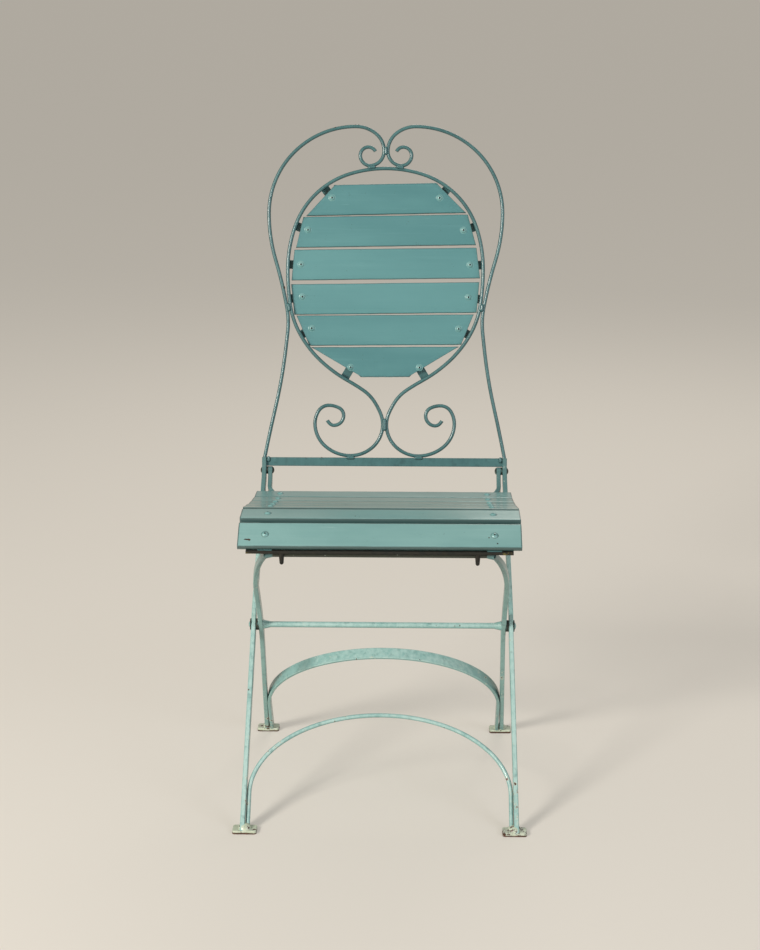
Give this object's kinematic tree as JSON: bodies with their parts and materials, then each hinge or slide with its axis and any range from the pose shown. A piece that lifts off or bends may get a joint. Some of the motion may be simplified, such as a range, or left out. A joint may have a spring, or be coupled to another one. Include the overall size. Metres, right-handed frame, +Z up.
{
  "type": "folding garden chair",
  "caption": "Folding garden chair: painted slatted seat, slatted oval medallion back in a heart of bent iron rod, crossed flat iron legs on arches and forged feet.",
  "frame": {"origin": "on the floor under the middle of the chair's outer box", "axes": "+X to the right of someone looking at the chair's front, +Y from the front feet to the back, +Z up"},
  "size_m": [0.4362, 0.5318, 0.9945],
  "materials": {
    "seat_wood": "glossy blue-green paint, worn at edges",
    "back_wood": "glossy blue-green paint, darker",
    "back_iron": "thick glossy dark teal paint",
    "leg_iron": "glossy teal paint with chips and rust",
    "foot_iron": "pale worn paint over rust",
    "worn_iron": "brown worn paint",
    "rivet_iron": "dark rubbed iron",
    "bolt_iron": "painted bolt heads, dark in the dimples"
  },
  "bodies": {
    "back_frame": {"front_leg_right": "leg_iron", "front_leg_left": "leg_iron", "front_arch": "leg_iron", "front_foot_right": "foot_iron", "front_foot_left": "foot_iron", "front_foot_welds": "foot_iron", "medallion_ring": "back_iron", "heart_rod_right": "back_iron", "heart_rod_left": "back_iron", "back_cross_bar": "back_iron", "back_weld_beads": "back_iron", "back_slat_lugs": "back_iron", "back_slat_bolts": "bolt_iron", "back_slat_nuts": "bolt_iron", "seat_rivets": "rivet_iron", "seat_spacers": "rivet_iron", "back_slat_1": "back_wood", "back_slat_2": "back_wood", "back_slat_3": "back_wood", "back_slat_4": "back_wood", "back_slat_5": "back_wood", "back_slat_6": "back_wood"},
    "rear_legs": {"rear_leg_right": "leg_iron", "rear_leg_left": "leg_iron", "seat_cross_rod": "leg_iron", "pivot_rod": "leg_iron", "pivot_spacers": "rivet_iron", "pivot_washers": "rivet_iron", "rear_frame_welds": "leg_iron", "rear_arch": "leg_iron", "rear_foot_right": "foot_iron", "rear_foot_left": "foot_iron", "rear_foot_welds": "foot_iron"},
    "seat": {"seat_slat_1": "seat_wood", "seat_slat_2": "seat_wood", "seat_slat_3": "seat_wood", "seat_slat_4": "seat_wood", "seat_slat_5": "seat_wood", "seat_slat_6": "seat_wood", "seat_slat_7": "seat_wood", "seat_bolts": "bolt_iron", "seat_nuts": "bolt_iron", "seat_rail_right": "leg_iron", "seat_rail_left": "leg_iron", "seat_front_strip": "worn_iron", "hook_pegs": "worn_iron"}
  },
  "joints": [
    {"name": "leg_fold", "type": "hinge", "parent": "back_frame", "child": "rear_legs", "pos_m": [0, -0.04577, 0.25002], "axis": [-1, 0, 0], "range_deg": [0, 70]},
    {"name": "seat_fold", "type": "hinge", "parent": "back_frame", "child": "seat", "pos_m": [0, 0.12732, 0.4524], "axis": [-1, 0, 0], "range_deg": [0, 95]}
  ],
  "couplings": [
    {"joint": "seat_fold", "follows": "leg_fold", "ratio": 1.357}
  ]
}
